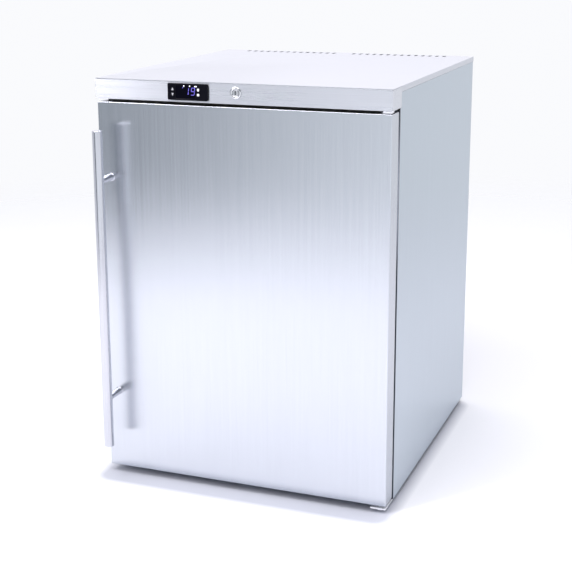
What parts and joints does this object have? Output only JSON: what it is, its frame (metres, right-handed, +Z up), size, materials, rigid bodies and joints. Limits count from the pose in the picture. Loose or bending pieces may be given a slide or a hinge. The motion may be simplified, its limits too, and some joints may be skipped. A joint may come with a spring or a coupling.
{
  "type": "undercounter refrigerator",
  "caption": "Stainless undercounter refrigerator with a right-hinged solid door, bar handle, lockable control fascia, wire shelves and a rear refrigeration unit.",
  "frame": {"origin": "on the floor, under the centre of the bounding box", "axes": "+X to the right as seen from the front, +Y from the door towards the rear, +Z up"},
  "size_m": [0.6, 0.721, 0.822],
  "materials": {
    "brushed_steel": "brushed stainless sheet, grain upright on the door and sides and left to right on the top and fascia",
    "polished_steel": "satin to bright stainless tube and pressings",
    "galvanised_steel": "zinc-coated sheet",
    "black_enamel": "black stoved enamel, satin",
    "black_plastic": "fine-grained black moulding",
    "foot_plastic": "black moulding",
    "liner_plastic": "smooth white formed sheet",
    "key_plastic": "black key caps with pale printed marks",
    "display_lens": "smoked glossy window",
    "grey_rubber": "soft grey extruded seal",
    "insulation_foam": "rigid polyurethane foam, out of sight",
    "fin_aluminium": "plain mill finish",
    "copper_tube": "bare copper, slightly dulled",
    "shelf_wire": "grey plastic-coated steel wire"
  },
  "bodies": {
    "cabinet": {"top_cover": "brushed_steel", "side_panel_left": "brushed_steel", "side_panel_right": "brushed_steel", "front_frame": "brushed_steel", "control_fascia": "brushed_steel", "back_panel": "galvanised_steel", "base_pan": "galvanised_steel", "compressor_tray": "galvanised_steel", "rear_grille": "galvanised_steel", "body_foam": "insulation_foam", "inner_liner": "liner_plastic", "controller_bezel": "black_plastic", "controller_body": "black_plastic", "display_lens": "display_lens", "lock_housing": "polished_steel", "hinge_bracket_top": "polished_steel", "hinge_bracket_bottom": "polished_steel", "hinge_pin_top": "galvanised_steel", "hinge_pin_bottom": "galvanised_steel", "shelf_strip_front_left": "polished_steel", "shelf_strip_rear_left": "polished_steel", "shelf_strip_front_right": "polished_steel", "shelf_strip_rear_right": "polished_steel", "shelf_lower": "shelf_wire", "shelf_middle": "shelf_wire", "shelf_upper": "shelf_wire", "evaporator_cover": "liner_plastic", "evaporator_coil": "fin_aluminium", "fan_motor": "black_plastic", "fan_guard": "black_plastic", "temperature_probe": "grey_rubber", "compressor": "black_enamel", "terminal_cover": "black_plastic", "drip_tray": "black_plastic", "drain_tube": "grey_rubber", "condenser_coil": "black_enamel", "condenser_wires": "black_enamel", "discharge_line": "copper_tube", "filter_drier": "copper_tube", "power_inlet": "black_plastic"},
    "door": {"door_skin": "brushed_steel", "door_foam": "insulation_foam", "door_liner": "liner_plastic", "door_gasket": "grey_rubber", "handle_bar": "polished_steel", "handle_post_lower": "polished_steel", "handle_post_upper": "polished_steel", "door_bush_top": "liner_plastic", "door_bush_bottom": "liner_plastic"},
    "lock": {"lock_barrel": "polished_steel", "lock_cam": "galvanised_steel"},
    "fan": {"fan_rotor": "black_plastic"},
    "up_key": {"key_up": "key_plastic"},
    "down_key": {"key_down": "key_plastic"},
    "set_key": {"key_set": "key_plastic"},
    "power_key": {"key_power": "key_plastic"},
    "front_left_foot": {"foot_front_left": "foot_plastic"},
    "front_right_foot": {"foot_front_right": "foot_plastic"},
    "rear_left_foot": {"foot_rear_left": "foot_plastic"},
    "rear_right_foot": {"foot_rear_right": "foot_plastic"}
  },
  "joints": [
    {"name": "door_hinge", "type": "hinge", "parent": "cabinet", "child": "door", "pos_m": [0.285, -0.2855, 0.396], "axis": [0, 0, 1], "range_deg": [0, 115]},
    {"name": "lock_turn", "type": "hinge", "parent": "cabinet", "child": "lock", "pos_m": [-0.004, -0.2875, 0.804], "axis": [0, 1, 0], "range_deg": [0, 90]},
    {"name": "fan_spin", "type": "hinge", "parent": "cabinet", "child": "fan", "pos_m": [0, 0.19975, 0.655], "axis": [0, 1, 0], "continuous": true},
    {"name": "up_key_press", "type": "slide", "parent": "cabinet", "child": "up_key", "axis": [0, 1, 0], "range_m": [0, 0.0008], "stiffness_N_per_m": 400},
    {"name": "down_key_press", "type": "slide", "parent": "cabinet", "child": "down_key", "axis": [0, 1, 0], "range_m": [0, 0.0008], "stiffness_N_per_m": 400},
    {"name": "set_key_press", "type": "slide", "parent": "cabinet", "child": "set_key", "axis": [0, 1, 0], "range_m": [0, 0.0008], "stiffness_N_per_m": 400},
    {"name": "power_key_press", "type": "slide", "parent": "cabinet", "child": "power_key", "axis": [0, 1, 0], "range_m": [0, 0.0008], "stiffness_N_per_m": 400},
    {"name": "front_left_foot_adjust", "type": "slide", "parent": "cabinet", "child": "front_left_foot", "axis": [0, 0, -1], "range_m": [0, 0.012]},
    {"name": "front_right_foot_adjust", "type": "slide", "parent": "cabinet", "child": "front_right_foot", "axis": [0, 0, -1], "range_m": [0, 0.012]},
    {"name": "rear_left_foot_adjust", "type": "slide", "parent": "cabinet", "child": "rear_left_foot", "axis": [0, 0, -1], "range_m": [0, 0.012]},
    {"name": "rear_right_foot_adjust", "type": "slide", "parent": "cabinet", "child": "rear_right_foot", "axis": [0, 0, -1], "range_m": [0, 0.012]}
  ]
}
